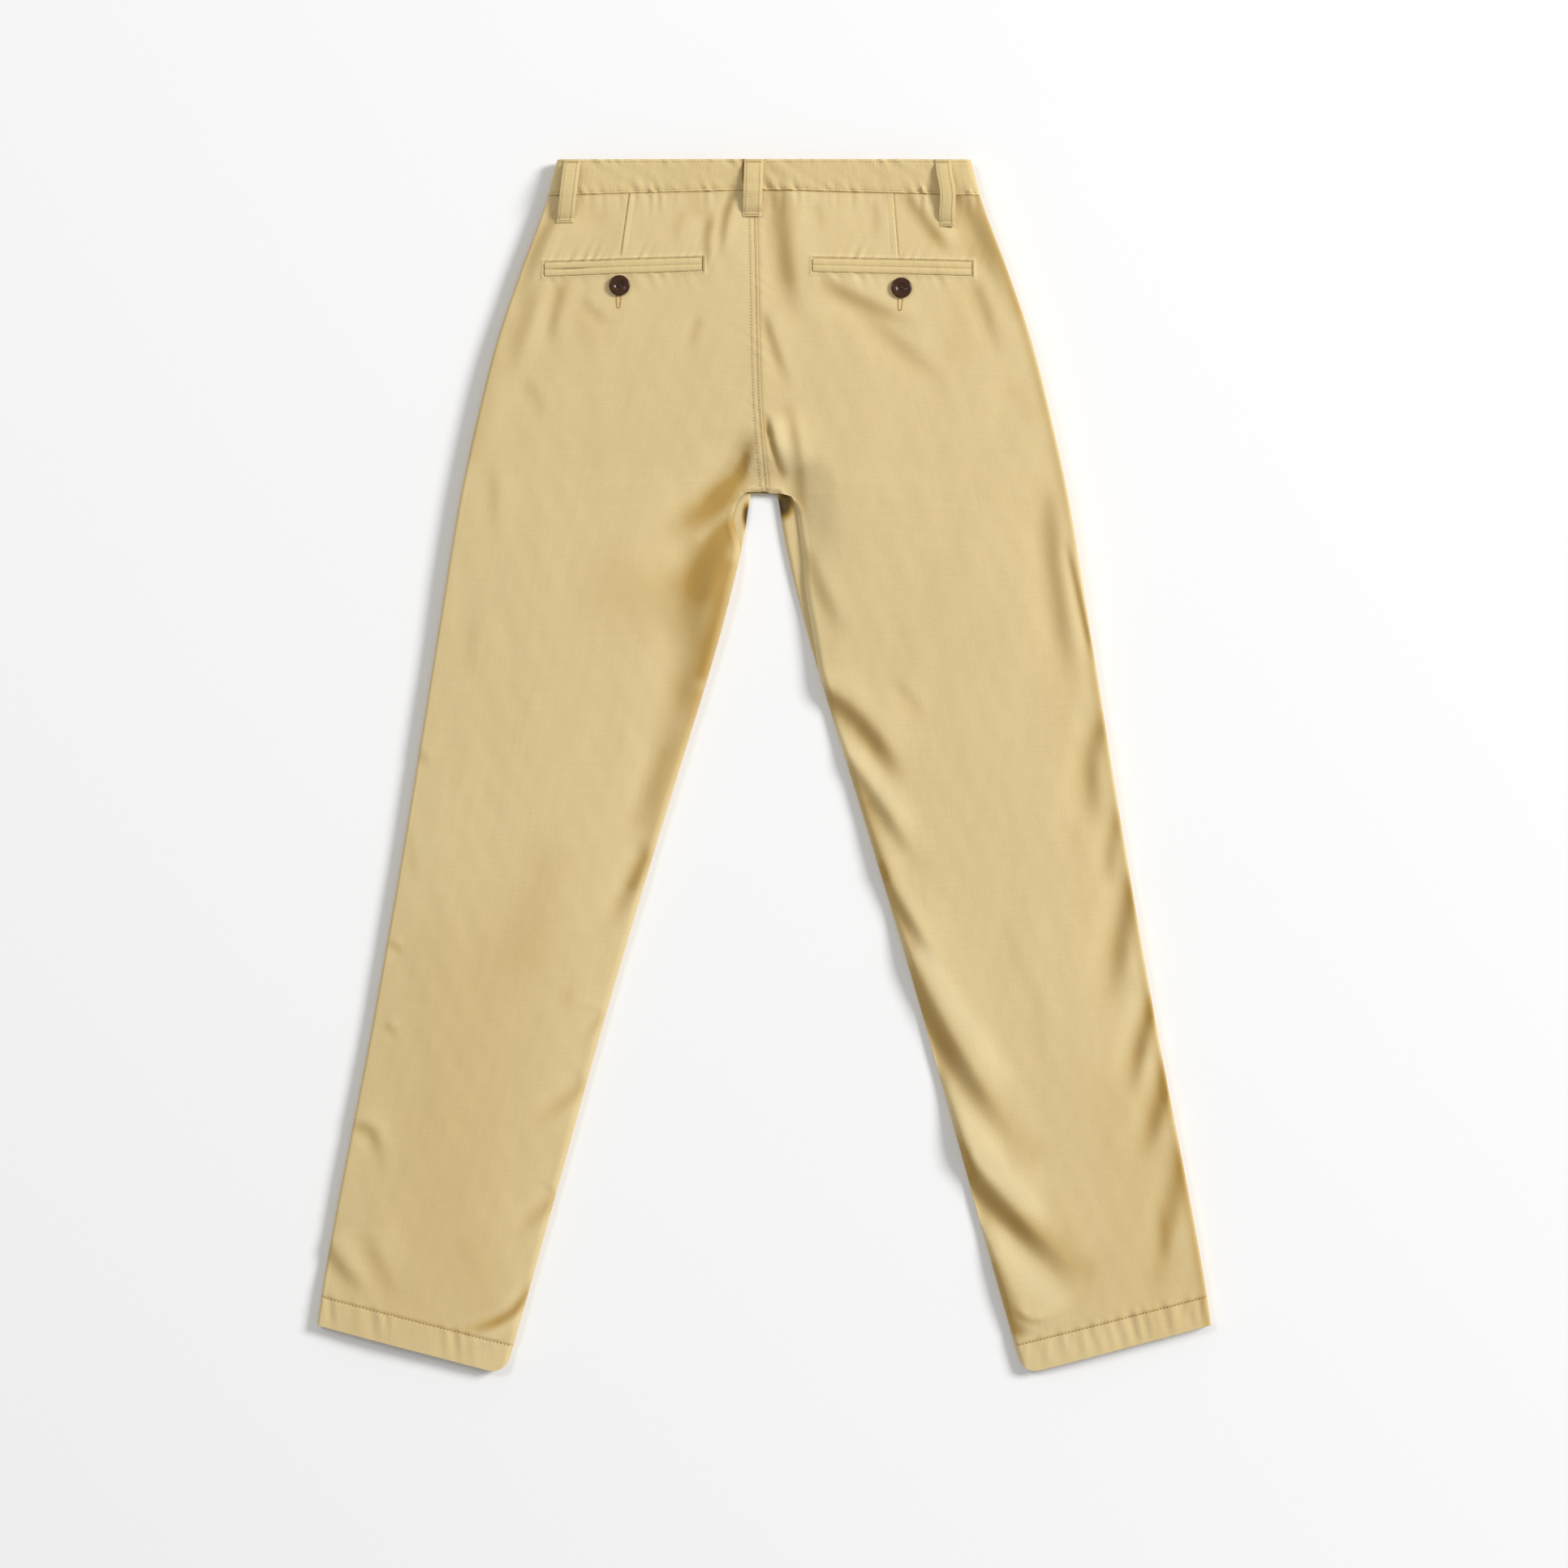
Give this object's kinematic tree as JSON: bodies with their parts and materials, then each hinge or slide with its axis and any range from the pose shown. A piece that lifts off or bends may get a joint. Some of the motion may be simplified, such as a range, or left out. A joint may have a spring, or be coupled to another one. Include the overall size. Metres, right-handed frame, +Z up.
{
  "type": "chino trousers",
  "caption": "Straight-leg cotton chino trousers laid flat with the back upward, with buttoned welt pockets and an open waist and legs.",
  "frame": {"origin": "centre of the part's box, on the surface that it lies on", "axes": "+X to the wearer's right, +Y towards the waist, +Z up, out of the back of the trousers"},
  "size_m": [0.8096, 1.0951, 0.0243],
  "materials": {
    "twill": "sand cotton twill, washed, matt with a faint sheen",
    "waistband": "the same twill, pressed and edge-stitched",
    "button": "dark brown polished resin",
    "zip": "woven zip tape"
  },
  "bodies": {
    "root": {"back_left": "twill", "back_right": "twill", "front_left": "twill", "front_right": "twill", "pocket_facing_left": "twill", "pocket_facing_right": "twill", "hem_back_left": "twill", "hem_back_right": "twill", "hem_front_left": "twill", "hem_front_right": "twill", "waistband_left": "waistband", "waistband_right": "waistband", "waistband_centre": "waistband", "loop_centre": "waistband", "loop_back_left": "waistband", "loop_back_right": "waistband", "loop_front_left": "waistband", "loop_front_right": "waistband", "welt_upper_left": "waistband", "welt_lower_left": "waistband", "welt_upper_right": "waistband", "welt_lower_right": "waistband", "button_left": "button", "button_right": "button", "button_waist": "button", "fly_shield": "twill", "fly_zip": "zip"}
  },
  "joints": []
}
